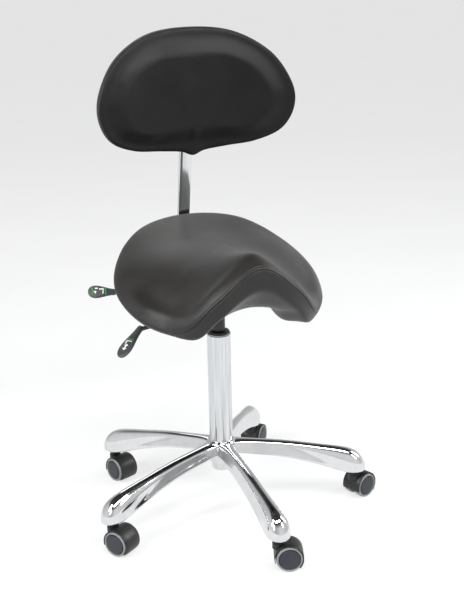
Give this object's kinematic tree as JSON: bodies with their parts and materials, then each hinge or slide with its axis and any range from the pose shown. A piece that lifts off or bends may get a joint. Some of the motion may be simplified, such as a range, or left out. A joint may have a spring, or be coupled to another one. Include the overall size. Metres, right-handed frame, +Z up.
{
  "type": "dentist stool",
  "caption": "Saddle-shaped work stool with a small curved backrest, gas lift column and polished star base on twin-wheel casters.",
  "frame": {"origin": "on the column's axis at the floor", "axes": "+Z up, the sitter faces -Y, +X is the sitter's left"},
  "size_m": [0.6291, 0.6122, 1.014],
  "materials": {
    "polished_star": "polished and chromed cast aluminium, mirror bright",
    "chrome_tube": "chromed steel tube and flat bar, mirror bright",
    "black_plastic": "moulded black nylon, fine satin",
    "lever_plastic": "moulded dark grey plastic, satin, with a pale and green pictogram",
    "wheel_plastic": "moulded dark grey wheel disc with a soft mid-grey tread ring",
    "seat_leather": "black leather-look upholstery, fine grain, satin sheen",
    "black_steel": "black powder-coated steel",
    "bright_steel": "zinc-plated steel",
    "plywood": "moulded plywood, hidden inside the pad",
    "rubber": "black rubber"
  },
  "bodies": {
    "base": {"base_star": "polished_star", "column_tube": "chrome_tube", "column_bush": "black_plastic"},
    "gas_rod": {"piston_rod": "bright_steel", "retaining_clip": "bright_steel", "thrust_bearing": "bright_steel", "bump_stop": "rubber"},
    "seat": {"gas_cylinder": "black_steel", "taper_socket": "black_steel", "mechanism_housing": "black_steel", "mounting_plate": "black_steel", "pivot_pin": "bright_steel", "seat_pan": "black_plastic", "seat_cushion": "seat_leather", "seat_bolt_1": "bright_steel", "seat_bolt_2": "bright_steel", "seat_bolt_3": "bright_steel", "seat_bolt_4": "bright_steel"},
    "release": {"release_pin": "bright_steel"},
    "height_lever": {"height_rod": "black_steel", "height_paddle": "lever_plastic"},
    "tilt_lever": {"tilt_rod": "black_steel", "tilt_paddle": "lever_plastic"},
    "back_arm": {"arm_bracket": "black_steel", "backrest_bar": "chrome_tube", "bar_bolt_1": "bright_steel", "bar_bolt_2": "bright_steel"},
    "back_pad": {"back_cushion": "seat_leather", "back_plate": "plywood", "back_shell": "black_plastic", "bar_guide": "bright_steel"},
    "knob": {"knob_screw": "bright_steel", "clamp_knob": "black_plastic"},
    "caster_1": {"caster_1_stem": "bright_steel", "caster_1_hood": "black_plastic", "caster_1_axle": "bright_steel"},
    "caster_1_roller_a": {"caster_1_wheel_a": "wheel_plastic"},
    "caster_1_roller_b": {"caster_1_wheel_b": "wheel_plastic"},
    "caster_2": {"caster_2_stem": "bright_steel", "caster_2_hood": "black_plastic", "caster_2_axle": "bright_steel"},
    "caster_2_roller_a": {"caster_2_wheel_a": "wheel_plastic"},
    "caster_2_roller_b": {"caster_2_wheel_b": "wheel_plastic"},
    "caster_3": {"caster_3_stem": "bright_steel", "caster_3_hood": "black_plastic", "caster_3_axle": "bright_steel"},
    "caster_3_roller_a": {"caster_3_wheel_a": "wheel_plastic"},
    "caster_3_roller_b": {"caster_3_wheel_b": "wheel_plastic"},
    "caster_4": {"caster_4_stem": "bright_steel", "caster_4_hood": "black_plastic", "caster_4_axle": "bright_steel"},
    "caster_4_roller_a": {"caster_4_wheel_a": "wheel_plastic"},
    "caster_4_roller_b": {"caster_4_wheel_b": "wheel_plastic"},
    "caster_5": {"caster_5_stem": "bright_steel", "caster_5_hood": "black_plastic", "caster_5_axle": "bright_steel"},
    "caster_5_roller_a": {"caster_5_wheel_a": "wheel_plastic"},
    "caster_5_roller_b": {"caster_5_wheel_b": "wheel_plastic"}
  },
  "joints": [
    {"name": "seat_swivel", "type": "hinge", "parent": "base", "child": "gas_rod", "pos_m": [0, 0, 0.1], "axis": [0, 0, 1], "continuous": true},
    {"name": "gas_lift", "type": "slide", "parent": "gas_rod", "child": "seat", "axis": [0, 0, 1], "range_m": [0, 0.16]},
    {"name": "height_lever_pull", "type": "hinge", "parent": "seat", "child": "height_lever", "pos_m": [-0.0355, 0, 0.5], "axis": [0, 1, 0], "range_deg": [0, 4], "stiffness_Nm_per_rad": 30, "springref_deg": -2.86},
    {"name": "release_press", "type": "slide", "parent": "seat", "child": "release", "axis": [0, 0, -1], "range_m": [0, 0.003]},
    {"name": "tilt_lever_pull", "type": "hinge", "parent": "seat", "child": "tilt_lever", "pos_m": [-0.0355, 0.096, 0.488], "axis": [0, 1, 0], "range_deg": [0, 5]},
    {"name": "backrest_tilt", "type": "hinge", "parent": "seat", "child": "back_arm", "pos_m": [0, 0.132, 0.49], "axis": [-1, 0, 0], "range_deg": [0, 18]},
    {"name": "backrest_height", "type": "slide", "parent": "back_arm", "child": "back_pad", "axis": [0, 0, 1], "range_m": [0, 0.05]},
    {"name": "knob_turn", "type": "hinge", "parent": "back_pad", "child": "knob", "pos_m": [0, 0.18, 0.864], "axis": [0, 1, 0], "continuous": true},
    {"name": "caster_1_swivel", "type": "hinge", "parent": "base", "child": "caster_1", "pos_m": [0, -0.29, 0.06], "axis": [0, 0, 1], "continuous": true},
    {"name": "caster_1_roll_a", "type": "hinge", "parent": "caster_1", "child": "caster_1_roller_a", "pos_m": [0.01854, -0.29749, 0.027], "axis": [0.3746, 0.9272, 0], "continuous": true},
    {"name": "caster_1_roll_b", "type": "hinge", "parent": "caster_1", "child": "caster_1_roller_b", "pos_m": [0.01854, -0.29749, 0.027], "axis": [0.3746, 0.9272, 0], "continuous": true},
    {"name": "caster_2_swivel", "type": "hinge", "parent": "base", "child": "caster_2", "pos_m": [0.27581, -0.08962, 0.06], "axis": [0, 0, 1], "continuous": true},
    {"name": "caster_2_roll_a", "type": "hinge", "parent": "caster_2", "child": "caster_2_roller_a", "pos_m": [0.29435, -0.08212, 0.027], "axis": [-0.3746, 0.9272, 0], "continuous": true},
    {"name": "caster_2_roll_b", "type": "hinge", "parent": "caster_2", "child": "caster_2_roller_b", "pos_m": [0.29435, -0.08212, 0.027], "axis": [-0.3746, 0.9272, 0], "continuous": true},
    {"name": "caster_3_swivel", "type": "hinge", "parent": "base", "child": "caster_3", "pos_m": [0.17046, 0.23461, 0.06], "axis": [0, 0, 1], "continuous": true},
    {"name": "caster_3_roll_a", "type": "hinge", "parent": "caster_3", "child": "caster_3_roller_a", "pos_m": [0.1846, 0.24876, 0.027], "axis": [-0.7071, 0.7071, 0], "continuous": true},
    {"name": "caster_3_roll_b", "type": "hinge", "parent": "caster_3", "child": "caster_3_roller_b", "pos_m": [0.1846, 0.24876, 0.027], "axis": [-0.7071, 0.7071, 0], "continuous": true},
    {"name": "caster_4_swivel", "type": "hinge", "parent": "base", "child": "caster_4", "pos_m": [-0.17046, 0.23461, 0.06], "axis": [0, 0, 1], "continuous": true},
    {"name": "caster_4_roll_a", "type": "hinge", "parent": "caster_4", "child": "caster_4_roller_a", "pos_m": [-0.16264, 0.21621, 0.027], "axis": [0.9205, 0.3907, 0], "continuous": true},
    {"name": "caster_4_roll_b", "type": "hinge", "parent": "caster_4", "child": "caster_4_roller_b", "pos_m": [-0.16264, 0.21621, 0.027], "axis": [0.9205, 0.3907, 0], "continuous": true},
    {"name": "caster_5_swivel", "type": "hinge", "parent": "base", "child": "caster_5", "pos_m": [-0.27581, -0.08962, 0.06], "axis": [0, 0, 1], "continuous": true},
    {"name": "caster_5_roll_a", "type": "hinge", "parent": "caster_5", "child": "caster_5_roller_a", "pos_m": [-0.26433, -0.106, 0.027], "axis": [0.8192, 0.5736, 0], "continuous": true},
    {"name": "caster_5_roll_b", "type": "hinge", "parent": "caster_5", "child": "caster_5_roller_b", "pos_m": [-0.26433, -0.106, 0.027], "axis": [0.8192, 0.5736, 0], "continuous": true}
  ],
  "couplings": [
    {"joint": "release_press", "follows": "height_lever_pull", "m_per_rad": 0.041}
  ]
}
